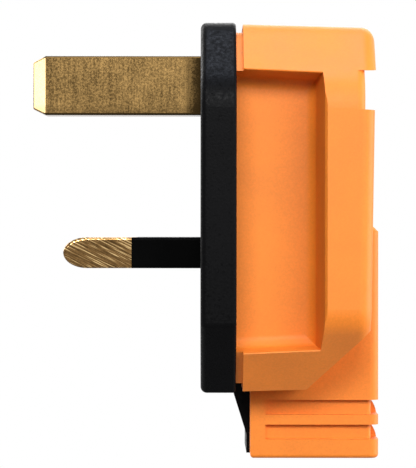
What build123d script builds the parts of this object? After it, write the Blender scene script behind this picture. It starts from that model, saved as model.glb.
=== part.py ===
from build123d import *
import math
import os

# Rewireable three-pin mains plug: black base with brass pins, orange cover shell, cartridge fuse.
# Frame, in millimetres: the origin lies on the engaging face, midway between the line and neutral
# pins. The pins point along -X, the cover lies towards +X, +Z runs up to the earth pin, and the
# line side is +Y.

# Pins of the three-pin pattern
live_pin_spacing = 22.23
live_pin_width = 6.35
live_pin_thickness = 3.97
live_pin_reach = 17.6
live_tip_length = 3.1
live_pin_edge = 0.35
earth_pin_rise = 22.23
earth_pin_width = 3.97
earth_pin_height = 7.92
earth_pin_reach = 22.5
earth_pin_edge = 0.25
earth_tip_length = 1.75
earth_tip_taper = 26.0
sleeve_reach = 8.85
sleeve_root = 1.2
sleeve_wall = 0.55
aperture_clearance = 0.06

# Front outline, seen along X
half_width = 25.0
top_half_width = 17.5
bottom_half_width = 17.0
upper_corner_drop = 8.63
lower_corner_z = -8.9
bottom_z = -17.7
top_corner_radius = 4.0
upper_corner_radius = 7.0
base_lower_radius = 1.0
cover_lower_radius = 5.0
base_bottom_radius = 0.4

# Base plate, its tray and the tongue that closes the cord outlet
base_thickness = 4.45
base_floor = 2.6
base_front_radius = 0.8
base_back_radius = 0.4
lip_height = 2.0
lip_thickness = 0.9
tongue_thickness = 1.5
tongue_front_x = 6.0
tongue_slope_z = -23.9
tongue_bottom_z = -26.35
tongue_inner_z = -12.5
saddle_height = 2.75
barrier_thickness = 1.0
barrier_height = 6.4
barrier_gap = 0.7
barrier_bottom_z = 2.0

# Cover shell
cover_wall = 1.9
cover_depth = 16.85
cover_inset = 0.2
cover_draft = 1.5
back_lean = 0.9
back_edge_radius = 1.7
shadow_gap = 0.89
neck_inset = 1.2
neck_overlap = 0.5
heel_x = 13.0
notch_bottom_z = 17.72
notch_top_z = 22.4
notch_top_rise = 6.0
notch_depth = 1.24
notch_edge_radius = 1.1
top_band_step = 0.25

# Finger recess on each side of the cover, sized at its mouth
recess_length = 11.0
recess_top_z = 23.14
recess_bottom_z = -12.96
recess_side_slope = 2.6
recess_draft = 8.0
recess_floor_radius = 1.5
recess_bevel = 0.3
recess_mouth_chamfer = 0.15

# Back panel and cord outlet of the cover
panel_half_width = 10.5
panel_step = 1.78
panel_top_z = 3.35
panel_top_chamfer = 0.6
panel_edge_radius = 1.2
outlet_front_x = 6.43
outlet_bottom_z = -26.65
outlet_bottom_radius = 0.5
outlet_side_wall = 4.0
groove_tops_z = (-19.09, -22.29)
groove_height = 1.9
groove_depth = 0.95
groove_front_x = 8.4
groove_corner_radius = 0.5
ramp_half_width = 6.0
ramp_bulge = 0.2
cord_diameter = 11.0
cord_axis_x = 14.2

# Terminals, screws and fuse
block_depth = 10.0
earth_block_width = 8.0
earth_block_height = 7.0
neutral_block_below = 0.6
neutral_block_height = 10.0
line_block_height = 5.0
line_block_depth = 8.0
line_head_depth = 2.8
line_head_margin = 0.6
wire_hole_diameter = 3.6
line_wire_hole_diameter = 3.0
wire_hole_height = 5.4
line_wire_hole_height = 3.9
terminal_thread = 3.2
terminal_head = 5.2
terminal_head_height = 1.7
slot_width = 0.8
slot_depth = 0.9
thread_clearance = 0.05
fuse_diameter = 6.35
fuse_length = 25.4
fuse_cap_length = 6.0
fuse_cap_wall = 0.4
fuse_tube_wall = 1.0
fuse_wire = 0.4
fuse_bottom_z = -5.3
clip_sheet = 0.6
clip_length = 5.0
clip_opening = 1.5
clip_foot_width = 5.2
clip_clearance = 0.03
rivet_diameter = 2.0
rivet_depth = 2.0

# Cover screw with its pillar, washer and insert
cover_screw_z = 10.5
cover_screw_thread = 4.0
cover_screw_head = 7.0
cover_screw_head_height = 2.6
cover_screw_sink = 0.4
cover_screw_hole = 4.4
head_clearance = 0.3
pillar_diameter = 9.2
pillar_height = 5.4
washer_thickness = 0.6
washer_diameter = 7.6
insert_diameter = 6.4
insert_length = 7.0
boss_diameter = 10.0
boss_hole_extra = 1.4

# Cord grip
grip_z = -9.2
grip_screw_half_spacing = 9.2
grip_pillar_diameter = 6.0
grip_pillar_height = 7.7
grip_bar_thickness = 2.2
grip_bar_width = 5.6
grip_ridge_diameter = 2.0
grip_thread = 3.0
grip_head = 5.2
grip_head_height = 1.8
grip_screw_length = 7.0

# Clearance between the base's raised parts and the cover round them, and from the base's lip to the
# sides and tops of the terminals
fit_clearance = 0.15
terminal_side_gap = 0.26
terminal_top_gap = 0.35

# Places worked out from the sizes above
live_pin_y = live_pin_spacing / 2
skirt_front_x = base_thickness + shadow_gap
cover_back_x = base_thickness + cover_depth
panel_back_x = cover_back_x + panel_step
lip_half_width = live_pin_y + live_pin_width / 2 + terminal_side_gap + lip_thickness
waist_half_width = lip_half_width + fit_clearance + cover_wall
recess_depth = half_width - waist_half_width
cavity_inset = cover_inset + cover_wall
lip_inset = cavity_inset + fit_clearance
fuse_top_z = fuse_bottom_z + fuse_length
line_block_z = fuse_top_z + line_head_margin
terminal_top_z = max(earth_pin_rise + earth_block_height / 2, line_block_z + line_block_height)
top_z = terminal_top_z + terminal_top_gap + lip_thickness + lip_inset
upper_corner_z = top_z - upper_corner_drop
tongue_half_width = panel_half_width - outlet_side_wall - fit_clearance
tongue_back_x = tongue_front_x + tongue_thickness
line_head_x = base_floor + line_head_depth
fuse_radius = fuse_diameter / 2
fuse_axis_x = line_head_x + clip_sheet + clip_clearance + fuse_radius
lower_clip_z = fuse_bottom_z + fuse_cap_length / 2
upper_clip_z = fuse_top_z - fuse_cap_length / 2
block_back_x = base_floor + block_depth
neutral_bottom_z = -live_pin_thickness / 2 - neutral_block_below
neutral_screw_z = neutral_bottom_z + neutral_block_height / 2
line_screw_z = line_block_z + line_block_height / 2
line_block_back_x = base_floor + line_block_depth
pillar_top_x = base_floor + pillar_height
boss_front_x = pillar_top_x + washer_thickness
insert_back_x = boss_front_x + insert_length
head_seat_x = cover_screw_sink + cover_screw_head_height
grip_top_x = base_floor + grip_pillar_height
grip_bar_back_x = grip_top_x + grip_bar_thickness

# Length by which a cutting body reaches past the solid that it cuts
overshoot = 5.0


def block(x_range, y_range, z_range):
    """Rectangular block between two limits along each axis."""
    limits = (x_range, y_range, z_range)
    middle = [sum(limit) / 2 for limit in limits]
    size = [limit[1] - limit[0] for limit in limits]
    return Pos(*middle) * Box(*size)


def bar_x(x_start, x_end, y, z, diameter):
    """Round bar along X."""
    bar = Cylinder(diameter / 2, x_end - x_start, align=(Align.CENTER, Align.CENTER, Align.MIN))
    return Location((x_start, y, z), (0, 90, 0)) * bar


def bar_z(x, y, z_start, z_end, diameter):
    """Round bar along Z."""
    bar = Cylinder(diameter / 2, z_end - z_start, align=(Align.CENTER, Align.CENTER, Align.MIN))
    return Pos(x, y, z_start) * bar


def both_sides(solid):
    """A solid on the -Y side joined by its mirror image on the +Y side."""
    return solid + mirror(solid, Plane.XZ)


def outline(inset, lower_radius, bottom_radius=0):
    """Front outline set in by a distance, drawn with Y across and Z up.

    Its corners are rounded, the two at the bottom only if their radius isn't zero.
    """
    right = [
        (bottom_half_width, bottom_z),
        (half_width, lower_corner_z),
        (half_width, upper_corner_z),
        (top_half_width, top_z),
    ]
    left = [(-y, z) for y, z in reversed(right)]
    face = make_face(Polyline(*right, *left, close=True))
    if inset:
        face = offset(face, amount=-inset, kind=Kind.INTERSECTION)
    rows = [row[0].Y for row in face.vertices().group_by(Axis.Y)]
    radii = (bottom_radius, lower_radius, upper_corner_radius, top_corner_radius)
    for row, radius in zip(rows, radii):
        corners = [vertex for vertex in face.vertices() if abs(vertex.Y - row) < 1e-4]
        if radius:
            face = fillet(corners, radius)
    return face


def slotted_screw(thread, length, head, head_height):
    """Cheese-head screw along X: head seat at the origin, shank towards -X."""
    screw = bar_x(-length, 0, 0, 0, thread) + bar_x(0, head_height, 0, 0, head)
    slot = block((head_height - slot_depth, head_height), (-head, head), (-slot_width / 2, slot_width / 2))
    return screw - slot


def pin_aperture(y, z, width, height):
    """Opening through the base's floor for one pin."""
    reach_y = width / 2 + aperture_clearance
    reach_z = height / 2 + aperture_clearance
    return block((-overshoot, base_floor + overshoot), (y - reach_y, y + reach_y), (z - reach_z, z + reach_z))


def tray_face(half, inset):
    """Outline of the tray or of its lip: the front outline kept within a half width."""
    limit = Rectangle(2 * half, 4 * top_z)
    return outline(inset, cover_lower_radius) & limit


def make_base():
    """Base plate with tray, lip, pillars, barriers and the tongue with its cord saddle."""
    plate = extrude(Plane.YZ * outline(0, base_lower_radius, base_bottom_radius), base_thickness)
    plate = fillet(plate.faces().sort_by(Axis.X)[0].edges(), base_front_radius)
    plate = fillet(plate.faces().sort_by(Axis.X)[-1].edges(), base_back_radius)
    lip_plane = Plane.YZ.offset(base_floor)
    lip_top = base_thickness + lip_height
    lip = extrude(lip_plane * tray_face(lip_half_width, lip_inset), lip_top - base_floor)
    tray_inset = lip_inset + lip_thickness
    tray = extrude(lip_plane * tray_face(lip_half_width - lip_thickness, tray_inset), overshoot)
    base = plate + lip - tray

    side = Polyline(
        (base_floor, tongue_inner_z),
        (base_floor, bottom_z + base_back_radius),
        (base_thickness - base_back_radius, bottom_z),
        (tongue_front_x, tongue_slope_z),
        (tongue_front_x, tongue_bottom_z),
        (tongue_back_x, tongue_bottom_z),
        (tongue_back_x, tongue_inner_z),
        close=True,
    )
    tongue = extrude(make_face(Plane.XZ * side), tongue_half_width, both=True)
    saddle_half = cord_diameter / 2 - fit_clearance
    saddle_back_x = cord_axis_x - saddle_height
    saddle = block(
        (tongue_back_x, saddle_back_x),
        (-saddle_half, saddle_half),
        (tongue_bottom_z, bottom_z + cover_wall),
    )
    cord = bar_z(cord_axis_x, 0, outlet_bottom_z - overshoot, tongue_inner_z, cord_diameter)
    base += tongue + (saddle - cord)

    pillar = bar_x(base_floor, pillar_top_x, 0, cover_screw_z, pillar_diameter)
    base += pillar
    for side_y in (-grip_screw_half_spacing, grip_screw_half_spacing):
        base += bar_x(base_floor, grip_top_x, side_y, grip_z, grip_pillar_diameter)
    barrier_y = live_pin_y - live_pin_width / 2 - clip_sheet - barrier_gap
    barrier = block(
        (base_floor, base_floor + barrier_height),
        (-barrier_y, -barrier_y + barrier_thickness),
        (barrier_bottom_z, earth_pin_rise - earth_block_height / 2),
    )
    base += both_sides(barrier)

    base -= pin_aperture(0, earth_pin_rise, earth_pin_width, earth_pin_height)
    for side_y in (-live_pin_y, live_pin_y):
        base -= pin_aperture(side_y, 0, live_pin_width, live_pin_thickness)
    base -= bar_x(-overshoot, head_seat_x, 0, cover_screw_z, cover_screw_head + 2 * head_clearance)
    base -= bar_x(0, pillar_top_x, 0, cover_screw_z, cover_screw_hole)
    for side_y in (-grip_screw_half_spacing, grip_screw_half_spacing):
        hole_start = grip_bar_back_x - grip_screw_length - thread_clearance
        base -= bar_x(hole_start, grip_top_x, side_y, grip_z, grip_thread + 2 * thread_clearance)
    return base


def recess_prism(grow, bevel_depth):
    """Long prism bounded by one wall of a finger recess and by its floor, with a fillet between them.

    It is drawn with the wall's outward side along X and the depth along Y, the edge of the mouth at
    the origin. The wall flares out at 45 degrees above the bevel's depth, if that isn't zero, and
    the whole is larger by a wall thickness.
    """
    lean = math.tan(math.radians(recess_draft))
    reach = 2 * half_width
    edge = [(overshoot * lean, -overshoot)]
    if bevel_depth:
        start_x = -bevel_depth * lean
        edge = [(start_x + bevel_depth + overshoot, -overshoot), (start_x, bevel_depth)]
    wall = [*edge, (-recess_depth * lean, recess_depth)]
    face = make_face(Polyline((-reach, -overshoot), *wall, (-reach, recess_depth), close=True))
    if grow:
        face = offset(face, amount=grow, kind=Kind.INTERSECTION)
    corner = face.vertices().group_by(Axis.Y)[-1].sort_by(Axis.X)[-1]
    face = fillet(corner, recess_floor_radius + grow)
    return extrude(face, reach, both=True)


def finger_recess(grow):
    """Body of the finger recess on the -Y side, larger all round by a wall thickness.

    Its mouth narrows towards the back of the plug and is bevelled there, its walls draw in towards
    the floor and meet it in wide fillets, and the walls meet each other in mitred corners.
    """
    side_drop = cover_inset + (recess_length - shadow_gap) * math.tan(math.radians(cover_draft))
    plain = recess_prism(grow, 0)
    turn = 90 - recess_side_slope
    back = Pos(base_thickness + recess_length, -half_width, 0) * recess_prism(grow, side_drop + recess_bevel)
    top = Location((skirt_front_x, -half_width, recess_top_z), (0, -turn, 0)) * plain
    bottom = Location((skirt_front_x, -half_width, recess_bottom_z), (0, turn, 0)) * plain
    return back & top & bottom


def heel_cut(inset):
    """Everything beyond the slanted heel of the cover, moved inwards by a wall thickness."""
    reach = 2 * half_width
    beyond = block((-inset, reach), (-reach, reach), (-reach, reach))
    return Location((heel_x, 0, bottom_z), (0, 45, 0)) * beyond


def behind_back(inset):
    """Everything behind the leaning back of the cover, moved inwards by a wall thickness."""
    reach = 2 * half_width
    beyond = block((-inset, reach), (-reach, reach), (-reach, reach))
    return Location((cover_back_x, 0, 0), (0, back_lean, 0)) * beyond


def back_notch(depth, low_z, grow):
    """Groove across the leaning back of the cover, as deep as told and larger round its mouth.

    Its lower side is at low_z, and its upper side rises from both ends towards the middle.
    """
    reach = 2 * half_width
    rise = half_width * math.tan(math.radians(notch_top_rise))
    mouth = Polyline(
        (-reach, low_z),
        (reach, low_z),
        (reach, notch_top_z - rise),
        (0, notch_top_z + rise),
        (-reach, notch_top_z - rise),
        close=True,
    )
    face = make_face(mouth)
    if grow:
        face = offset(face, amount=grow, kind=Kind.INTERSECTION)
    notch = extrude(Plane.YZ.offset(-depth) * face, depth + overshoot)
    return Location((cover_back_x, 0, 0), (0, back_lean, 0)) * notch


def drafted_block(back_inset, edge_radius):
    """Block with the cover's drafted sides and leaning back, rounded round the back.

    The back is moved inwards by an inset.
    """
    face = Plane.YZ.offset(skirt_front_x) * outline(cover_inset, cover_lower_radius)
    body = extrude(face, cover_depth + overshoot, taper=cover_draft) - behind_back(back_inset)
    back = body.faces().sort_by(lambda face: face.center().X)[-1]
    return fillet(back.edges(), edge_radius)


def make_skirt():
    """Outer block of the cover: drafted skirt, notched leaning back, slanted heel and neck.

    The band of the back above the notch stands out a little further than the rest.
    """
    rear_depth = notch_depth + 2 * notch_edge_radius
    notch = back_notch(rear_depth, notch_bottom_z, 0)
    below_band = back_notch(rear_depth, -2 * half_width, 0)
    skirt = drafted_block(-top_band_step, back_edge_radius) - below_band
    skirt += (drafted_block(0, back_edge_radius) & below_band) - notch
    skirt += drafted_block(notch_depth, notch_edge_radius) & notch
    skirt -= heel_cut(0)
    neck_face = Plane.YZ.offset(base_thickness) * outline(neck_inset, cover_lower_radius)
    neck = extrude(neck_face, shadow_gap + neck_overlap)
    return skirt + neck


def runs_along(edge):
    """True for an edge that runs mainly along X."""
    size = edge.bounding_box().size
    return size.X > max(size.Y, size.Z)


def cut_recesses(skirt):
    """Skirt with both finger recesses, the upper and lower edges of their mouths eased."""
    near = finger_recess(0)
    far = mirror(near, Plane.XZ)
    body = skirt - near - far
    cut_edges = new_edges(skirt, near, far, combined=body)
    behind_neck = [edge for edge in cut_edges if edge.center().X > skirt_front_x + neck_overlap]
    return chamfer([edge for edge in behind_neck if runs_along(edge)], recess_mouth_chamfer)


def make_panel():
    """Central back panel of the cover that runs down into the cord outlet, with rounded edges."""
    panel = block(
        (outlet_front_x, panel_back_x),
        (-panel_half_width, panel_half_width),
        (outlet_bottom_z, panel_top_z),
    )
    panel = fillet(panel.edges().filter_by(Axis.Z).group_by(Axis.X)[-1], panel_edge_radius)
    top_edge = panel.faces().sort_by(Axis.Z)[-1].edges().sort_by(Axis.X)[-1]
    panel = chamfer(top_edge, panel_top_chamfer)
    return fillet(panel.faces().sort_by(Axis.Z)[0].edges(), outlet_bottom_radius)


def outlet_groove(top_z):
    """One groove round the sides and back of the cord outlet, and the ramp left in it at the back."""
    bottom_edge_z = top_z - groove_height
    floor_x = panel_back_x - groove_depth
    floor_half = panel_half_width - groove_depth
    reach = panel_half_width + overshoot
    ring = block((groove_front_x, panel_back_x + overshoot), (-reach, reach), (bottom_edge_z, top_z))
    core = block((0, floor_x), (-floor_half, floor_half), (bottom_edge_z, top_z))
    core = fillet(core.edges().filter_by(Axis.Z).group_by(Axis.X)[-1], groove_corner_radius)
    middle_x = panel_back_x - groove_depth / 2 + ramp_bulge
    middle_z = top_z - groove_height / 2
    ramp_side = Curve() + [
        ThreePointArc((floor_x, top_z), (middle_x, middle_z), (panel_back_x, bottom_edge_z)),
        Polyline(
            (panel_back_x, bottom_edge_z),
            (floor_x - groove_depth, bottom_edge_z),
            (floor_x - groove_depth, top_z),
            (floor_x, top_z),
        ),
    ]
    ramp = extrude(make_face(Plane.XZ * ramp_side), ramp_half_width, both=True)
    return ring - core - ramp


def cover_cavity():
    """Hollow of the cover: one wall thickness inside its skirt, recesses, heel and back panel."""
    face = Plane.YZ.offset(base_thickness) * outline(cavity_inset, cover_lower_radius)
    hollow = extrude(face, cover_depth + overshoot, taper=cover_draft)
    hollow = hollow - behind_back(cover_wall) - heel_cut(cover_wall)
    near = finger_recess(cover_wall)
    hollow = hollow - near - mirror(near, Plane.XZ)
    hollow -= back_notch(notch_depth + cover_wall, notch_bottom_z, cover_wall)
    panel_inner = panel_half_width - cover_wall
    hollow += block(
        (cord_axis_x, panel_back_x - cover_wall),
        (-panel_inner, panel_inner),
        (bottom_z + cover_wall, panel_top_z - cover_wall),
    )
    return hollow


def cord_channel():
    """Way out for the cord: a channel with a round back, open to the front where the tongue sits."""
    reach_z = (outlet_bottom_z - overshoot, bottom_z + 2 * cover_wall)
    radius = cord_diameter / 2
    channel = block((0, cord_axis_x), (-radius, radius), reach_z)
    channel += bar_z(cord_axis_x, 0, *reach_z, cord_diameter)
    rebate_half = panel_half_width - outlet_side_wall
    rebate = block((0, tongue_back_x + fit_clearance), (-rebate_half, rebate_half), reach_z)
    return channel + rebate


def make_cover():
    """Cover shell: skirt with finger recesses, back panel, ribbed cord outlet and screw boss."""
    body = cut_recesses(make_skirt())
    panel = make_panel()
    for top_z in groove_tops_z:
        panel -= outlet_groove(top_z)
    body += panel
    body = body - cover_cavity() - cord_channel()
    boss = bar_x(boss_front_x, cover_back_x - cover_wall / 2, 0, cover_screw_z, boss_diameter)
    boss -= bar_x(boss_front_x, insert_back_x, 0, cover_screw_z, insert_diameter + 2 * thread_clearance)
    boss -= bar_x(boss_front_x, insert_back_x + boss_hole_extra, 0, cover_screw_z, cover_screw_hole)
    return body + boss


def make_earth_pin():
    """Earth pin with a tapered tip and a drilled and tapped terminal block on its inner end."""
    section = Rectangle(earth_pin_width, earth_pin_height)
    tip_x = earth_tip_length - earth_pin_reach
    outward = Plane(origin=(tip_x, 0, earth_pin_rise), x_dir=(0, 1, 0), z_dir=(-1, 0, 0))
    pin = extrude(outward * section, tip_x - base_floor)
    pin += extrude(outward * section, earth_tip_length, taper=earth_tip_taper)
    pin = fillet([edge for edge in pin.edges() if edge.center().X < base_floor], earth_pin_edge)
    low_z = earth_pin_rise - earth_block_height / 2
    high_z = earth_pin_rise + earth_block_height / 2
    pin += block((base_floor, block_back_x), (-earth_block_width / 2, earth_block_width / 2), (low_z, high_z))
    pin -= bar_z(base_floor + wire_hole_height, 0, low_z, high_z, wire_hole_diameter)
    return pin - terminal_tapping(block_back_x, 0, earth_pin_rise, base_floor + wire_hole_height)


def terminal_tapping(back_x, y, z, wire_x):
    """Tapped hole from the back of a terminal block into its wire hole."""
    return bar_x(wire_x, back_x, y, z, terminal_thread + 2 * thread_clearance)


def live_blade(y):
    """Line or neutral pin up to the base's floor: round tip, edges eased, waist under the sleeve."""
    half = live_pin_thickness / 2
    round_x = live_tip_length - live_pin_reach
    side = Curve() + [
        Polyline((round_x, half), (base_floor, half), (base_floor, -half), (round_x, -half)),
        EllipticalCenterArc((round_x, 0), live_tip_length, half, 90, arc_size=180),
    ]
    blade = extrude(make_face(Plane.XZ * side), live_pin_width / 2, both=True)
    faces = blade.faces().sort_by(Axis.Y)
    rims = [edge for face in (faces[0], faces[-1]) for edge in face.edges() if edge.center().X < base_floor]
    blade = fillet(rims, live_pin_edge)
    return Pos(0, y, 0) * blade


def sleeve_space(y, inset):
    """Length of a pin that its sleeve covers, set in by a distance."""
    half_y = live_pin_width / 2 - inset
    half_z = live_pin_thickness / 2 - inset
    return block((-sleeve_reach, sleeve_root), (y - half_y, y + half_y), (-half_z, half_z))


def waisted_blade(y):
    """Pin blade cut down where the sleeve sits."""
    return live_blade(y) - (sleeve_space(y, 0) - sleeve_space(y, sleeve_wall))


def make_sleeve(y):
    """Insulating sleeve, flush with the pin's section."""
    return (live_blade(y) & sleeve_space(y, 0)) - sleeve_space(y, sleeve_wall)


def make_neutral_pin():
    """Neutral pin with its terminal block."""
    y = -live_pin_y
    half = live_pin_width / 2
    z_range = (neutral_bottom_z, neutral_bottom_z + neutral_block_height)
    wire_x = base_floor + wire_hole_height
    pin = waisted_blade(y) + block((base_floor, block_back_x), (y - half, y + half), z_range)
    pin -= bar_z(wire_x, y, *z_range, wire_hole_diameter)
    return pin - terminal_tapping(block_back_x, y, neutral_screw_z, wire_x)


def rivet_hole(z):
    """Hole for the rivet that holds a fuse clip to its carrier."""
    return bar_x(line_head_x - rivet_depth, line_head_x, live_pin_y, z, rivet_diameter + 2 * thread_clearance)


def make_line_pin():
    """Line pin with the flat head that carries the lower fuse clip."""
    half = live_pin_width / 2
    z_range = (fuse_bottom_z - line_head_margin, live_pin_thickness / 2 + line_head_margin)
    head = block((base_floor, line_head_x), (live_pin_y - half, live_pin_y + half), z_range)
    return waisted_blade(live_pin_y) + head - rivet_hole(lower_clip_z)


def make_line_terminal():
    """Line terminal: block with wire hole, and the foot that carries the upper fuse clip."""
    half = live_pin_width / 2
    y_range = (live_pin_y - half, live_pin_y + half)
    foot_z = (fuse_top_z - fuse_cap_length - line_head_margin, line_block_z)
    terminal = block((base_floor, line_head_x), y_range, foot_z)
    block_z = (line_block_z, line_block_z + line_block_height)
    terminal += block((base_floor, line_block_back_x), y_range, block_z)
    wire_x = base_floor + line_wire_hole_height
    wire = Cylinder(line_wire_hole_diameter / 2, live_pin_width)
    terminal -= Location((wire_x, live_pin_y, line_screw_z), (90, 0, 0)) * wire
    terminal -= terminal_tapping(line_block_back_x, live_pin_y, line_screw_z, wire_x)
    return terminal - rivet_hole(upper_clip_z)


def make_fuse_clip(z):
    """Spring clip round a fuse cap: open ring on a flat foot."""
    inner = fuse_radius + clip_clearance
    ring = Circle(inner + clip_sheet) - Circle(inner)
    ring -= Pos(clip_opening + fuse_diameter, 0) * Rectangle(2 * fuse_diameter, 2 * fuse_diameter)
    foot = Pos(-inner - clip_sheet / 2, 0) * Rectangle(clip_sheet, clip_foot_width)
    clip = extrude(Pos(fuse_axis_x, live_pin_y, z) * (ring + foot), clip_length / 2, both=True)
    rivet = bar_x(line_head_x, fuse_axis_x, live_pin_y, z, rivet_diameter + 2 * thread_clearance)
    return clip - rivet


def make_rivets():
    """Flush rivets of the two fuse clips."""
    end_x = line_head_x + clip_sheet - clip_clearance
    return [
        bar_x(line_head_x - rivet_depth, end_x, live_pin_y, z, rivet_diameter)
        for z in (lower_clip_z, upper_clip_z)
    ]


def make_fuse_cap(end_z, inward):
    """Metal end cap of the fuse: a cup with its closed end at end_z."""
    cap = bar_z(0, 0, 0, fuse_cap_length, fuse_diameter)
    cap -= bar_z(0, 0, fuse_cap_wall, fuse_cap_length, fuse_diameter - 2 * fuse_cap_wall)
    if inward < 0:
        cap = Rot(180, 0, 0) * cap
    return Pos(fuse_axis_x, live_pin_y, end_z) * cap


def make_fuse_tube():
    """Ceramic barrel of the fuse, between the ends of its caps."""
    outer = fuse_diameter - 2 * fuse_cap_wall - 2 * clip_clearance
    ends = (fuse_bottom_z + fuse_cap_wall, fuse_top_z - fuse_cap_wall)
    tube = bar_z(fuse_axis_x, live_pin_y, *ends, outer)
    return tube - bar_z(fuse_axis_x, live_pin_y, *ends, outer - 2 * fuse_tube_wall)


def make_fuse_element():
    """Fuse wire between the two caps."""
    ends = (fuse_bottom_z + fuse_cap_wall, fuse_top_z - fuse_cap_wall)
    return bar_z(fuse_axis_x, live_pin_y, *ends, fuse_wire)


def make_terminal_screws():
    """Clamping screws of the earth, neutral and line terminals."""
    wire_x = base_floor + wire_hole_height
    line_wire_x = base_floor + line_wire_hole_height
    places = [
        (block_back_x, 0, earth_pin_rise, wire_x),
        (block_back_x, -live_pin_y, neutral_screw_z, wire_x),
        (line_block_back_x, live_pin_y, line_screw_z, line_wire_x),
    ]
    screws = []
    for seat_x, y, z, end_x in places:
        screw = slotted_screw(terminal_thread, seat_x - end_x, terminal_head, terminal_head_height)
        screws.append(Pos(seat_x, y, z) * screw)
    return screws


def make_grip_bar():
    """Cord-grip bar: a strap with round ends, two screw holes and a ridge that bites the cord."""
    length = 2 * grip_screw_half_spacing + grip_bar_width
    strap = SlotOverall(length, grip_bar_width)
    bar = extrude(Plane.YZ.offset(grip_top_x) * Pos(0, grip_z) * strap, grip_bar_thickness)
    ridge = Cylinder(grip_ridge_diameter / 2, grip_screw_half_spacing)
    bar += Location((grip_top_x, 0, grip_z), (90, 0, 0)) * ridge
    for y in (-grip_screw_half_spacing, grip_screw_half_spacing):
        bar -= bar_x(grip_top_x, grip_bar_back_x, y, grip_z, grip_thread + 2 * thread_clearance)
    return bar


def make_grip_screws():
    """Two screws that draw the grip bar down on its pillars."""
    screw = slotted_screw(grip_thread, grip_screw_length, grip_head, grip_head_height)
    return [
        Pos(grip_bar_back_x, y, grip_z) * screw
        for y in (-grip_screw_half_spacing, grip_screw_half_spacing)
    ]


def make_cover_screw():
    """Screw from the engaging face through base and washer into the cover's insert."""
    length = insert_back_x - head_seat_x
    screw = slotted_screw(cover_screw_thread, length, cover_screw_head, cover_screw_head_height)
    return Location((head_seat_x, 0, cover_screw_z), (0, 180, 0)) * screw


def make_washer():
    """Fibre washer that keeps the cover screw captive on its pillar."""
    washer = bar_x(pillar_top_x, boss_front_x, 0, cover_screw_z, washer_diameter)
    hole = cover_screw_thread + 2 * thread_clearance
    return washer - bar_x(pillar_top_x, boss_front_x, 0, cover_screw_z, hole)


def make_insert():
    """Tapped brass insert in the cover's boss."""
    insert = bar_x(boss_front_x, insert_back_x, 0, cover_screw_z, insert_diameter)
    hole = cover_screw_thread + 2 * thread_clearance
    return insert - bar_x(boss_front_x, insert_back_x, 0, cover_screw_z, hole)


def main():
    os.makedirs("parts", exist_ok=True)
    nodes = {
        "base": make_base(),
        "cover": make_cover(),
        "earth_pin": make_earth_pin(),
        "neutral_pin": make_neutral_pin(),
        "line_pin": make_line_pin(),
        "neutral_pin_sleeve": make_sleeve(-live_pin_y),
        "line_pin_sleeve": make_sleeve(live_pin_y),
        "line_terminal": make_line_terminal(),
        "fuse_clip_lower": make_fuse_clip(lower_clip_z),
        "fuse_clip_upper": make_fuse_clip(upper_clip_z),
        "fuse_clip_rivets": make_rivets(),
        "fuse_cap_lower": make_fuse_cap(fuse_bottom_z, 1),
        "fuse_cap_upper": make_fuse_cap(fuse_top_z, -1),
        "fuse_tube": make_fuse_tube(),
        "fuse_element": make_fuse_element(),
        "terminal_screws": make_terminal_screws(),
        "cord_grip_bar": make_grip_bar(),
        "cord_grip_screws": make_grip_screws(),
        "cover_screw": make_cover_screw(),
        "cover_screw_washer": make_washer(),
        "cover_insert": make_insert(),
    }
    for name, shape in nodes.items():
        pieces = shape if isinstance(shape, list) else [shape]
        solids = [solid for piece in pieces for solid in piece.solids()]
        export_step(Compound(label=name, children=solids), f"parts/{name}.step")


if __name__ == "__main__":
    main()
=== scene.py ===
"""Finishes, studio and camera for a heavy-duty three-pin mains plug with an orange cover."""

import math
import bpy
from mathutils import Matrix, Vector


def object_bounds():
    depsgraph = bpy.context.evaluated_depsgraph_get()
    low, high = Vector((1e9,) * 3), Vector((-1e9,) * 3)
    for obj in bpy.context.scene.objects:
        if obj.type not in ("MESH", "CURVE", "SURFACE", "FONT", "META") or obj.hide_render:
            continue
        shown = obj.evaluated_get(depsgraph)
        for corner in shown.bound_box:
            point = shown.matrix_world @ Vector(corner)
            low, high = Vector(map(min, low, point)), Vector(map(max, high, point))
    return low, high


bl_info = {
    "name": "Heavy-Duty Mains Plug",
    "version": (1, 0, 0),
    "blender": (4, 5, 0),
    "location": "View3D > Sidebar > Plug",
    "description": "Moulded, brass and plated finishes for a three-pin plug, with a plain studio",
    "category": "Object",
}

import bpy
import numpy as np
from bpy.props import FloatProperty, FloatVectorProperty, PointerProperty
from mathutils import Matrix, Vector

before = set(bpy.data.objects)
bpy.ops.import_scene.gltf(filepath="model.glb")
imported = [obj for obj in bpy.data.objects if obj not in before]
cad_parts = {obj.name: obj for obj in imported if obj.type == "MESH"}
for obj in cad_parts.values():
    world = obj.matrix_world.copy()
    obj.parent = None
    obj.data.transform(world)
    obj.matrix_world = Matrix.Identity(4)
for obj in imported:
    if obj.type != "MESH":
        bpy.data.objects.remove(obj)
cad_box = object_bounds()

MILLIMETRE = 0.001

# Value about which a noise texture swings
NOISE_MEAN = 0.5

# Places of a Mix node's colour sockets, which share their names with its other sockets
MIX_FACTOR, MIX_FIRST, MIX_SECOND, MIX_RESULT = 0, 6, 7, 2

# Scales that draw a noise out into lines, along an axis whose scale is small
BRUSH_LINES = (1.0, 1.0, 0.05)
FILE_MARKS = (0.035, 0.6, 1.0)
UPRIGHT_SCRATCHES = (1.0, 1.0, 0.15)

# The earth pin's middle above the live pins, and half of its height and width
EARTH_RISE = 22.23 * MILLIMETRE
EARTH_HALF_HEIGHT = 3.96 * MILLIMETRE
EARTH_HALF_WIDTH = 1.985 * MILLIMETRE

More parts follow.
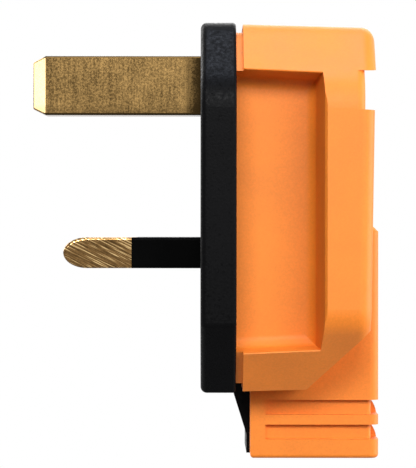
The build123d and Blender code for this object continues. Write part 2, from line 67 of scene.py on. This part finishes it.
# Smooth steps that place the earth pin's painted shade at its root, its painted dark reflection along
# its long edges, its darker lower part and its painted highlight on the tip, each from where it is
# nothing to where it is full
AT_ROOT = (-2.3 * MILLIMETRE, 0.1 * MILLIMETRE)
NEAR_BROAD_SIDE = (1.65 * MILLIMETRE, 1.75 * MILLIMETRE)
NEAR_NARROW_SIDE = (3.62 * MILLIMETRE, 3.72 * MILLIMETRE)
LOW_DOWN = (-2.2 * MILLIMETRE, -3.2 * MILLIMETRE)
OFF_MITRE = (0.1 * MILLIMETRE, 0.25 * MILLIMETRE)
PAST_CHAMFER_EDGE = (-20.7 * MILLIMETRE, -20.9 * MILLIMETRE)
SHORT_OF_TIP = (-22.45 * MILLIMETRE, -22.3 * MILLIMETRE)

WHITE = (1.0, 1.0, 1.0, 1.0)
FLOOR_GREY = (0.5, 0.5, 0.5, 1.0)
FLOOR_RINGS, FLOOR_SPOKES = 12, 64

# Shares of the floor's radius between which it fades to white, and the scale that drops its height
FADE_START, FADE_END = 0.45, 0.95
FLATTENED = (1.0, 1.0, 0.0)

# Where the lights point: the middle of base and cover, and just past the earth pin's tip
BODY_MIDDLE = (0.01, 0.0, 0.0)
PAST_PIN_TIP = (-0.03, 0.0, 0.022)
UNTINTED = (1.0, 1.0, 1.0)
COOL_TINT = (0.86, 0.95, 1.15)
NARROW_BEAM = math.radians(12)

# Height of the camera's sensor in millimetres, and its nearest visible distance in metres
SENSOR_HEIGHT = 36.0
CLIP_START = 0.01


def linear(red, green, blue):
    """Linear colour of a display colour given from 0 to 255, by the standard sRGB curve."""
    shares = [value / 255 for value in (red, green, blue)]
    return tuple(s / 12.92 if s <= 0.04045 else ((s + 0.055) / 1.055) ** 2.4 for s in shares)


def shade(colour, amount=1.0):
    """A colour made lighter or darker by a factor, with full alpha, as colour sockets take it."""
    return (*(min(1.0, value * amount) for value in colour), 1.0)


class PlugColours(bpy.types.PropertyGroup):
    """Colours of the plug's materials."""

    cover: FloatVectorProperty(
        name="Cover", description="Moulded cover",
        subtype="COLOR", size=3, min=0, max=1, default=linear(229, 127, 40),
    )
    base: FloatVectorProperty(
        name="Base", description="Moulded base",
        subtype="COLOR", size=3, min=0, max=1, default=linear(6, 6, 7),
    )
    earth_brass: FloatVectorProperty(
        name="Earth pin", description="Satin brass of the earth pin",
        subtype="COLOR", size=3, min=0, max=1, default=linear(136, 108, 65),
    )
    live_brass: FloatVectorProperty(
        name="Live pins", description="Filed brass of the line and neutral pins",
        subtype="COLOR", size=3, min=0, max=1, default=linear(126, 96, 58),
    )
    # Pale brass of the file marks, and also the colour of the painted highlight on the earth pin's tip
    fresh_brass_and_tip_highlight: FloatVectorProperty(
        name="Fresh brass", description="Bare brass in the file marks and on the earth pin's worn tip",
        subtype="COLOR", size=3, min=0, max=1, default=linear(238, 206, 148),
    )
    sleeve: FloatVectorProperty(
        name="Sleeves", description="Insulating sleeves",
        subtype="COLOR", size=3, min=0, max=1, default=linear(5, 5, 5),
    )
    bronze: FloatVectorProperty(
        name="Clips", description="Spring bronze of the fuse clips and their rivets",
        subtype="COLOR", size=3, min=0, max=1, default=linear(186, 134, 92),
    )
    plating: FloatVectorProperty(
        name="Fuse caps", description="Nickel plating of the fuse caps and the fuse wire",
        subtype="COLOR", size=3, min=0, max=1, default=linear(196, 194, 188),
    )
    ceramic: FloatVectorProperty(
        name="Fuse barrel", description="Ceramic of the fuse barrel",
        subtype="COLOR", size=3, min=0, max=1, default=linear(226, 222, 210),
    )
    steel: FloatVectorProperty(
        name="Screws", description="Zinc-plated steel of the screws",
        subtype="COLOR", size=3, min=0, max=1, default=linear(178, 180, 184),
    )
    fibre: FloatVectorProperty(
        name="Fibre", description="Vulcanised fibre of the grip bar and washer",
        subtype="COLOR", size=3, min=0, max=1, default=linear(122, 46, 34),
    )


class PlugGrain(bpy.types.PropertyGroup):
    """Sizes of the surface patterns."""

    moulding: FloatProperty(
        name="Moulding grain",
        description="Size of the fine grain in moulded surfaces, which their gloss specks follow",
        unit="LENGTH", default=0.26 * MILLIMETRE, min=0.02 * MILLIMETRE, precision=5,
    )
    cloud: FloatProperty(
        name="Clouding", description="Size of the soft colour clouds, which tarnish and haze follow",
        unit="LENGTH", default=7 * MILLIMETRE, min=0.5 * MILLIMETRE, precision=5,
    )
    brush: FloatProperty(
        name="Brush pitch", description="Spacing of the brush lines across the earth pin",
        unit="LENGTH", default=0.3 * MILLIMETRE, min=0.02 * MILLIMETRE, precision=5,
    )
    file_pitch: FloatProperty(
        name="File pitch", description="Spacing of the file marks on the live pins",
        unit="LENGTH", default=0.15 * MILLIMETRE, min=0.05 * MILLIMETRE, precision=5,
    )
    file_angle: FloatProperty(
        name="File angle", description="Slope of the file marks, down towards the base",
        subtype="ANGLE", default=math.radians(27), min=0, max=math.radians(90),
    )
    glitter: FloatProperty(
        name="Glitter",
        description="Size of the bright specks in the brass, and width of the scratches in plating",
        unit="LENGTH", default=0.24 * MILLIMETRE, min=0.01 * MILLIMETRE, precision=5,
    )


class PlugStage(bpy.types.PropertyGroup):
    """Camera, lights and floor."""

    camera_distance: FloatProperty(
        name="Camera distance", description="From the camera to the plug's middle plane",
        unit="LENGTH", default=0.283, min=0.1, precision=4,
    )
    camera_x: FloatProperty(
        name="Camera across", description="Camera's place along the pins",
        unit="LENGTH", default=0.93 * MILLIMETRE, precision=5,
    )
    camera_z: FloatProperty(
        name="Camera height", description="Camera's height above the live pins",
        unit="LENGTH", default=2.4 * MILLIMETRE, precision=5,
    )
    camera_roll: FloatProperty(
        name="Camera roll", description="Turn of the camera about its line of sight",
        subtype="ANGLE", default=math.radians(0.05),
    )
    lens: FloatProperty(
        name="Lens", description="Focal length for a frame 36 mm high",
        subtype="DISTANCE_CAMERA", default=161.8, min=20,
    )
    top_power: FloatProperty(
        name="Top light", description="Power of the soft light above the plug",
        subtype="POWER", default=1.6, min=0,
    )
    front_power: FloatProperty(
        name="Front light", description="Power of the large light above the camera",
        subtype="POWER", default=2.75, min=0,
    )
    side_power: FloatProperty(
        name="Side light", description="Power of the soft light to the right of the camera",
        subtype="POWER", default=2.05, min=0,
    )
    tip_power: FloatProperty(
        name="Tip light", description="Power of the narrow light on the earth pin's tip",
        subtype="POWER", default=0.000027, min=0, precision=6,
    )
    right_power: FloatProperty(
        name="Right light", description="Power of the soft light on the cover's back",
        subtype="POWER", default=2.6, min=0,
    )
    back_power: FloatProperty(
        name="Back light", description="Power of the soft light on the far side",
        subtype="POWER", default=1.8, min=0,
    )
    pin_power: FloatProperty(
        name="Pin light", description="Power of the soft light on the face with the pins",
        subtype="POWER", default=3.4, min=0,
    )
    ambient: FloatProperty(
        name="Ambient", description="Strength of the even light from all round", default=0.03, min=0,
    )
    floor_gap: FloatProperty(
        name="Floor gap", description="From the plug's lowest point down to the floor",
        unit="LENGTH", default=0.35, min=0, precision=4,
    )
    floor_radius: FloatProperty(
        name="Floor radius", description="Radius of the round floor",
        unit="LENGTH", default=0.3, min=0.05,
    )


class Wire:
    """An output socket of a shader tree; sums and products of wires add Math nodes."""

    def __init__(self, finish, socket):
        self.finish = finish
        self.socket = socket

    def math(self, operation, first, second):
        """One Math node on two values or wires."""
        return self.finish.node("ShaderNodeMath", {"operation": operation}, {0: first, 1: second})

    def __add__(self, other):
        return self.math("ADD", self, other)

    def __radd__(self, other):
        return self.math("ADD", other, self)

    def __sub__(self, other):
        return self.math("SUBTRACT", self, other)

    def __rsub__(self, other):
        return self.math("SUBTRACT", other, self)

    def __mul__(self, other):
        return self.math("MULTIPLY", self, other)

    def __rmul__(self, other):
        return self.math("MULTIPLY", other, self)

    def __abs__(self):
        return self.math("ABSOLUTE", self, 0.0)

    def swing(self, amount):
        """A noise's swing about its mean, times an amount."""
        return (self - NOISE_MEAN) * amount

    def between(self, low, high):
        """Smooth step of this value, from 0 at low to 1 at high; low may be the larger of the two."""
        settings = {"interpolation_type": "SMOOTHSTEP"}
        sockets = {"Value": self, "From Min": low, "From Max": high}
        return self.finish.node("ShaderNodeMapRange", settings, sockets)

    def output(self, name):
        """Another output of the node that this wire comes from."""
        return Wire(self.finish, self.socket.node.outputs[name])


class Finish:
    """A shader tree being written, for a material or for the world."""

    def __init__(self, owner):
        owner.use_nodes = True
        self.tree = owner.node_tree
        self.tree.nodes.clear()

    def node(self, kind, settings, sockets, output=0):
        """Adds a node: its settings first, then the values or links of its sockets.

        Returns one of its outputs, or None for a node that has none.
        """
        made = self.tree.nodes.new(kind)
        for name, value in settings.items():
            setattr(made, name, value)
        for name, value in sockets.items():
            if isinstance(value, Wire):
                self.tree.links.new(value.socket, made.inputs[name])
            else:
                made.inputs[name].default_value = value
        return Wire(self, made.outputs[output]) if len(made.outputs) else None

    def place(self):
        """Object coordinates, which on every piece are the plug's own frame."""
        return self.node("ShaderNodeTexCoord", {}, {}, "Object")

    def stretched(self, vector, scale, turn=(0.0, 0.0, 0.0)):
        """Coordinates turned and then scaled along each axis, by two nodes, as one would scale first."""
        turned = self.node("ShaderNodeMapping", {}, {"Vector": vector, "Rotation": turn})
        return self.node("ShaderNodeMapping", {}, {"Vector": turned, "Scale": scale})

    def noise(self, vector, size, detail, roughness):
        """Noise whose lumps are about the given size."""
        sockets = {"Vector": vector, "Scale": 1 / size, "Detail": detail, "Roughness": roughness}
        return self.node("ShaderNodeTexNoise", {"noise_dimensions": "3D"}, sockets)

    def blend(self, factor, first, second):
        """Colour between two colours."""
        settings = {"data_type": "RGBA", "blend_type": "MIX"}
        sockets = {MIX_FACTOR: factor, MIX_FIRST: first, MIX_SECOND: second}
        return self.node("ShaderNodeMix", settings, sockets, MIX_RESULT)

    def bump(self, height, depth, strength):
        """Normal disturbed by a height from 0 to 1 that stands for a depth."""
        sockets = {"Height": height, "Distance": depth, "Strength": strength}
        return self.node("ShaderNodeBump", {}, sockets)

    def surface(self, sockets):
        """Principled shader into the material's output."""
        shader = self.node("ShaderNodeBsdfPrincipled", {}, sockets)
        self.node("ShaderNodeOutputMaterial", {}, {"Surface": shader})


def material(name):
    """A new material and the finish that writes its shader."""
    made = bpy.data.materials.new(name)
    return made, Finish(made)


def dress(node_names, made):
    """Puts a material on CAD nodes."""
    for name in node_names:
        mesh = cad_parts[name].data
        mesh.materials.clear()
        mesh.materials.append(made)


def moulding(name, colour, grain, roughness, spread, depth, reflection=0.5, unevenness=0.16):
    """Moulded plastic: soft colour clouds, fine grain in colour and relief, and specks in the gloss."""
    made, finish = material(name)
    place = finish.place()
    cloud = finish.noise(place, grain.cloud, detail=3.0, roughness=0.55)
    fine = finish.noise(place, grain.moulding, detail=3.0, roughness=0.6)
    speck_size = grain.moulding * 1.6
    specks = finish.noise(place, speck_size, detail=2.0, roughness=0.6)
    tone = cloud.swing(0.8) + fine.swing(0.9) + NOISE_MEAN
    dark, light = shade(colour, 1 - spread), shade(colour, 1 + spread)
    finish.surface({
        "Base Color": finish.blend(tone.between(0.1, 0.9), dark, light),
        "Roughness": specks.swing(unevenness) + cloud.swing(0.12) + roughness,
        "Specular IOR Level": reflection,
        "Normal": finish.bump(fine, depth, strength=0.35),
    })
    return made


def brushed_brass(name, colour, fresh_and_highlight, grain):
    """Satin brass of the earth pin: brush lines across it, bright specks and slow tarnish clouds.

    Painted shade darkens its root, as the black base's shadow and reflection, and a painted dark
    reflection darkens its long edges; its lower part is a little darker, and a painted highlight lights
    the broad sides of its chamfered tip.
    """
    made, finish = material(name)
    place = finish.place()
    lines = finish.noise(finish.stretched(place, BRUSH_LINES), grain.brush, detail=3.0, roughness=0.65)
    glitter = finish.noise(place, grain.glitter, detail=2.0, roughness=0.7)
    tarnish_size = grain.cloud * 0.6
    cloud = finish.noise(place, tarnish_size, detail=3.0, roughness=0.5)
    line_tone = lines.between(0.35, 0.65) * 0.3
    speck_tone = glitter.between(0.36, 0.64) * 0.5
    cloud_tone = cloud.between(0.3, 0.7) * 0.2
    # The third colour is the dark of the painted shade at the root and along the long edges, and of the
    # darker lower part
    dark, light, painted_shade = shade(colour, 0.32), shade(colour, 1.68), shade(colour, 0.15)
    hue = finish.blend(line_tone + speck_tone + cloud_tone, dark, light)

    along = finish.node("ShaderNodeSeparateXYZ", {}, {"Vector": place}, "X")
    across = abs(along.output("Y"))
    rise = along.output("Z") - EARTH_RISE
    up = abs(rise)

    # The tip's chamfers meet where a point is as deep under the broad side as under the narrow one
    nearer_broad = across - up + (EARTH_HALF_HEIGHT - EARTH_HALF_WIDTH)
    broad = nearer_broad.between(*OFF_MITRE)
    # Painted highlight: the broad sides of the tip's chamfers are blended to a pale brass, standing in
    # for a lamp's reflection
    tip = along.between(*PAST_CHAMFER_EDGE) * broad * along.between(*SHORT_OF_TIP)
    hue = finish.blend(tip * 0.8, hue, shade(fresh_and_highlight))

    # Painted shade at the root: darker towards the base, standing in for its shadow and the reflection
    # of its black face, with a ragged edge
    ragged = cloud.swing(3 * MILLIMETRE) + glitter.swing(4 * MILLIMETRE)
    root = (along + ragged).between(*AT_ROOT)
    # Painted dark reflection along the long edges
    edges = across.between(*NEAR_BROAD_SIDE) * up.between(*NEAR_NARROW_SIDE)
    # Darker towards the bottom
    low = (rise + cloud.swing(MILLIMETRE)).between(*LOW_DOWN)
    painted_shade_and_darkening = root * 0.95 + edges * 0.9 + low * 0.3
    finish.surface({
        "Base Color": finish.blend(painted_shade_and_darkening.between(0.0, 1.0), hue, painted_shade),
        "Metallic": 1.0,
        "Roughness": glitter.swing(0.1) + 0.16,
        "Normal": finish.bump(lines * 0.4 + glitter * 0.6, 0.006 * MILLIMETRE, strength=0.4),
    })
    return made


def filed_brass(name, colour, fresh_and_highlight, grain):
    """Filed brass: slanting marks of uneven width, with bright specks between them."""
    made, finish = material(name)
    place = finish.place()
    slanting = finish.stretched(place, FILE_MARKS, turn=(0.0, -grain.file_angle, 0.0))
    marks = finish.noise(slanting, grain.file_pitch, detail=2.0, roughness=0.6)
    glitter = finish.noise(place, grain.glitter, detail=2.0, roughness=0.7)
    tone = marks.between(0.36, 0.56) * 0.45 + glitter.between(0.3, 0.7) * 0.15
    hue = finish.blend(tone, shade(colour, 0.3), shade(colour, 1.7))
    bared = marks.between(0.55, 0.65) * 0.8
    finish.surface({
        "Base Color": finish.blend(bared, hue, shade(fresh_and_highlight)),
        "Metallic": 1.0,
        "Roughness": glitter.swing(0.1) + 0.18,
        "Normal": finish.bump(marks * 0.8 + glitter * 0.2, 0.012 * MILLIMETRE, strength=0.5),
    })
    return made


def plated_metal(name, colour, grain, roughness):
    """Plated or drawn metal: a light haze and fine upright scratches."""
    made, finish = material(name)
    place = finish.place()
    upright = finish.stretched(place, UPRIGHT_SCRATCHES)
    haze_size = grain.cloud * 0.3
    haze = finish.noise(place, haze_size, detail=3.0, roughness=0.5)
    scratch = finish.noise(upright, grain.glitter, detail=2.0, roughness=0.6)
    tone = haze.swing(0.7) + scratch.swing(0.6) + NOISE_MEAN
    finish.surface({
        "Base Color": finish.blend(tone.between(0.1, 0.9), shade(colour, 0.85), shade(colour, 1.1)),
        "Metallic": 1.0,
        "Roughness": scratch.swing(0.25) + roughness,
        "Normal": finish.bump(scratch, 0.01 * MILLIMETRE, strength=0.3),
    })
    return made


class PLUG_OT_cover(bpy.types.Operator):
    """Orange moulded finish of the cover"""

    bl_idname = "plug.cover"
    bl_label = "Finish Cover"

    def execute(self, context):
        scene = context.scene
        made = moulding(
            "orange_moulding", scene.plug_colours.cover, scene.plug_grain,
            roughness=0.52, spread=0.1, depth=0.02 * MILLIMETRE, reflection=0.3,
        )
        dress(["cover"], made)
        return {"FINISHED"}


class PLUG_OT_base(bpy.types.Operator):
    """Black moulded finish of the base with its tongue"""

    bl_idname = "plug.base"
    bl_label = "Finish Base"

    def execute(self, context):
        scene = context.scene
        made = moulding(
            "black_moulding", scene.plug_colours.base, scene.plug_grain,
            roughness=0.4, spread=0.35, depth=0.08 * MILLIMETRE, reflection=0.042, unevenness=0.9,
        )
        dress(["base"], made)
        return {"FINISHED"}


class PLUG_OT_earth_pin(bpy.types.Operator):
    """Satin brushed brass of the earth pin"""

    bl_idname = "plug.earth_pin"
    bl_label = "Finish Earth Pin"

    def execute(self, context):
        scene = context.scene
        colours = scene.plug_colours
        made = brushed_brass("satin_brass", colours.earth_brass, colours.fresh_brass_and_tip_highlight, scene.plug_grain)
        dress(["earth_pin"], made)
        return {"FINISHED"}


class PLUG_OT_live_pins(bpy.types.Operator):
    """Filed brass of the line and neutral pins, the line terminal and the cover's insert"""

    bl_idname = "plug.live_pins"
    bl_label = "Finish Live Pins"

    def execute(self, context):
        scene = context.scene
        colours = scene.plug_colours
        made = filed_brass("filed_brass", colours.live_brass, colours.fresh_brass_and_tip_highlight, scene.plug_grain)
        dress(["line_pin", "neutral_pin", "line_terminal", "cover_insert"], made)
        return {"FINISHED"}


class PLUG_OT_sleeves(bpy.types.Operator):
    """Black insulating sleeves of the live pins"""

    bl_idname = "plug.sleeves"
    bl_label = "Finish Sleeves"

    def execute(self, context):
        scene = context.scene
        made = moulding(
            "sleeve_black", scene.plug_colours.sleeve, scene.plug_grain,
            roughness=0.34, spread=0.25, depth=0.01 * MILLIMETRE, reflection=0.01,
        )
        dress(["line_pin_sleeve", "neutral_pin_sleeve"], made)
        return {"FINISHED"}


class PLUG_OT_fuse(bpy.types.Operator):
    """Cartridge fuse with its clips and rivets"""

    bl_idname = "plug.fuse"
    bl_label = "Finish Fuse"

    def execute(self, context):
        colours = context.scene.plug_colours
        grain = context.scene.plug_grain
        plating = plated_metal("fuse_plating", colours.plating, grain, roughness=0.22)
        dress(["fuse_cap_lower", "fuse_cap_upper", "fuse_element"], plating)
        bronze = plated_metal("spring_bronze", colours.bronze, grain, roughness=0.3)
        dress(["fuse_clip_lower", "fuse_clip_upper", "fuse_clip_rivets"], bronze)
        ceramic = moulding(
            "fuse_ceramic", colours.ceramic, grain,
            roughness=0.32, spread=0.05, depth=0.01 * MILLIMETRE,
        )
        dress(["fuse_tube"], ceramic)
        return {"FINISHED"}


class PLUG_OT_screws(bpy.types.Operator):
    """Zinc-plated screws"""

    bl_idname = "plug.screws"
    bl_label = "Finish Screws"

    def execute(self, context):
        scene = context.scene
        made = plated_metal("zinc_steel", scene.plug_colours.steel, scene.plug_grain, roughness=0.28)
        dress(["terminal_screws", "cord_grip_screws", "cover_screw"], made)
        return {"FINISHED"}


class PLUG_OT_cord_grip(bpy.types.Operator):
    """Vulcanised fibre of the cord-grip bar and the washer"""

    bl_idname = "plug.cord_grip"
    bl_label = "Finish Cord Grip"

    def execute(self, context):
        scene = context.scene
        made = moulding(
            "fibre", scene.plug_colours.fibre, scene.plug_grain,
            roughness=0.6, spread=0.2, depth=0.03 * MILLIMETRE,
        )
        dress(["cord_grip_bar", "cover_screw_washer"], made)
        return {"FINISHED"}


def disc(radius, rings, spokes):
    """Flat round sheet: point (r cos a, r sin a) for r on rings and a on spokes, with a centre point."""
    r = np.linspace(0, radius, rings + 1)[1:, None]
    a = np.linspace(0, 2 * np.pi, spokes, endpoint=False)[None, :]
    ring_points = np.stack([r * np.cos(a), r * np.sin(a), 0 * r * a], axis=-1).reshape(-1, 3)
    points = np.vstack([np.zeros((1, 3)), ring_points])
    i, j = np.meshgrid(np.arange(rings - 1), np.arange(spokes), indexing="ij")
    here = 1 + i * spokes + j
    beside = 1 + i * spokes + (j + 1) % spokes
    quads = np.stack([here, here + spokes, beside + spokes, beside], axis=-1).reshape(-1, 4)
    k = np.arange(spokes)
    fan = np.stack([np.zeros(spokes, int), 1 + k, 1 + (k + 1) % spokes], axis=-1)
    return points, fan.tolist() + quads.tolist()


def seen_white(finish):
    """1 for rays that see the backdrop directly, in a reflection or through glass, and 0 for light."""
    direct = finish.node("ShaderNodeLightPath", {}, {}, "Is Camera Ray")
    return direct + direct.output("Is Glossy Ray") + direct.output("Is Transmission Ray")


def floor_material(radius):
    """Pale matt floor that keeps shadows in its middle and fades to the white backdrop at its rim."""
    made, finish = material("floor")
    flat = finish.stretched(finish.place(), FLATTENED)
    from_middle = finish.node("ShaderNodeVectorMath", {"operation": "LENGTH"}, {0: flat}, "Value")
    rim = from_middle.between(FADE_START * radius, FADE_END * radius)
    matt = finish.node("ShaderNodeBsdfDiffuse", {}, {"Color": FLOOR_GREY})
    white = finish.node("ShaderNodeEmission", {}, {"Color": WHITE, "Strength": 1.0})
    mixed = finish.node("ShaderNodeMixShader", {}, {0: rim * seen_white(finish), 1: matt, 2: white})
    finish.node("ShaderNodeOutputMaterial", {}, {"Surface": mixed})
    return made


def add_floor(scene, stage):
    """Round floor below the plug."""
    points, faces = disc(stage.floor_radius, FLOOR_RINGS, FLOOR_SPOKES)
    points = points + np.array([0.0, 0.0, cad_box[0].z - stage.floor_gap])
    mesh = bpy.data.meshes.new("floor")
    mesh.from_pydata(points.tolist(), [], faces)
    mesh.materials.append(floor_material(stage.floor_radius))
    floor = bpy.data.objects.new("floor", mesh)
    scene.collection.objects.link(floor)


def add_backdrop(scene, stage):
    """World that looks white and lights the plug only a little."""
    world = bpy.data.worlds.new("white_studio")
    finish = Finish(world)
    strength = stage.ambient + seen_white(finish) * (1 - stage.ambient)
    light = finish.node("ShaderNodeBackground", {}, {"Color": WHITE, "Strength": strength})
    finish.node("ShaderNodeOutputWorld", {}, {"Surface": light})
    scene.world = world


def area_light(name, power, place, size, aim=BODY_MIDDLE, spread=math.pi, tint=UNTINTED):
    """Light of a width and height that points at a place, its beam held to a spread."""
    data = bpy.data.lights.new(name, "AREA")
    data.shape = "RECTANGLE"
    data.size, data.size_y = size
    data.energy = power
    data.spread = spread
    data.color = tint
    lamp = bpy.data.objects.new(name, data)
    lamp.location = place
    lamp.rotation_euler = (Vector(aim) - Vector(place)).to_track_quat("-Z", "Y").to_euler()
    bpy.context.scene.collection.objects.link(lamp)


def add_lights(stage):
    """Soft lights from all round, and a narrow one on the earth pin's tip."""
    area_light("top_light", stage.top_power, place=(0.03, -0.08, 0.5), size=(0.22, 0.22), tint=COOL_TINT)
    area_light("front_light", stage.front_power, place=(-0.05, -0.55, 0.244), size=(0.3, 0.18))
    area_light("side_light", stage.side_power, place=(0.3, -0.49, 0.19), size=(0.3, 0.3))
    area_light(
        "tip_light", stage.tip_power, place=(-0.188, -0.112, 0.036), size=(0.02, 0.02),
        aim=PAST_PIN_TIP, spread=NARROW_BEAM,
    )
    area_light("right_light", stage.right_power, place=(0.5, 0.02, 0.06), size=(0.4, 0.4))
    area_light("back_light", stage.back_power, place=(0.1, 0.5, 0.3), size=(0.4, 0.4))
    area_light("pin_light", stage.pin_power, place=(-0.45, 0.3, 0.25), size=(0.4, 0.4))


def add_camera(scene, stage):
    """Camera that looks along +Y at the plug's neutral side."""
    data = bpy.data.cameras.new("camera")
    data.sensor_fit = "VERTICAL"
    data.sensor_height = SENSOR_HEIGHT
    data.lens = stage.lens
    data.clip_start = CLIP_START
    camera = bpy.data.objects.new("camera", data)
    upright = Matrix.Rotation(math.radians(90), 4, "X") @ Matrix.Rotation(stage.camera_roll, 4, "Z")
    place = Matrix.Translation((stage.camera_x, -stage.camera_distance, stage.camera_z))
    camera.matrix_world = place @ upright
    scene.collection.objects.link(camera)
    scene.camera = camera


class PLUG_OT_stage(bpy.types.Operator):
    """Floor, white backdrop, lights and the camera"""

    bl_idname = "plug.stage"
    bl_label = "Set Up Stage"

    def execute(self, context):
        scene = context.scene
        stage = scene.plug_stage
        scene.view_settings.view_transform = "Standard"
        add_floor(scene, stage)
        add_backdrop(scene, stage)
        add_lights(stage)
        add_camera(scene, stage)
        return {"FINISHED"}


OPERATORS = (
    PLUG_OT_cover,
    PLUG_OT_base,
    PLUG_OT_earth_pin,
    PLUG_OT_live_pins,
    PLUG_OT_sleeves,
    PLUG_OT_fuse,
    PLUG_OT_screws,
    PLUG_OT_cord_grip,
    PLUG_OT_stage,
)


class PLUG_PT_sidebar(bpy.types.Panel):
    """Lists the plug's finishes, its stage and their settings"""

    bl_idname = "PLUG_PT_sidebar"
    bl_label = "Mains Plug"
    bl_space_type = "VIEW_3D"
    bl_region_type = "UI"
    bl_category = "Plug"

    def draw(self, context):
        for operator in OPERATORS:
            self.layout.operator(operator.bl_idname)
        for group in (context.scene.plug_colours, context.scene.plug_grain, context.scene.plug_stage):
            box = self.layout.box()
            for name in group.bl_rna.properties.keys():
                if name not in ("rna_type", "name"):
                    box.prop(group, name)


GROUPS = {"plug_colours": PlugColours, "plug_grain": PlugGrain, "plug_stage": PlugStage}


def register():
    """Adds the settings to the scene, then the operators and the panel."""
    for group in GROUPS.values():
        bpy.utils.register_class(group)
    for name, group in GROUPS.items():
        setattr(bpy.types.Scene, name, PointerProperty(type=group))
    for operator in OPERATORS:
        bpy.utils.register_class(operator)
    bpy.utils.register_class(PLUG_PT_sidebar)


def unregister():
    """Takes out the panel, the operators and the settings."""
    bpy.utils.unregister_class(PLUG_PT_sidebar)
    for operator in reversed(OPERATORS):
        bpy.utils.unregister_class(operator)
    for name, group in GROUPS.items():
        delattr(bpy.types.Scene, name)
        bpy.utils.unregister_class(group)


def main():
    """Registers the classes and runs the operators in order."""
    register()
    bpy.ops.plug.cover()
    bpy.ops.plug.base()
    bpy.ops.plug.earth_pin()
    bpy.ops.plug.live_pins()
    bpy.ops.plug.sleeves()
    bpy.ops.plug.fuse()
    bpy.ops.plug.screws()
    bpy.ops.plug.cord_grip()
    bpy.ops.plug.stage()


if __name__ == "__main__":
    main()
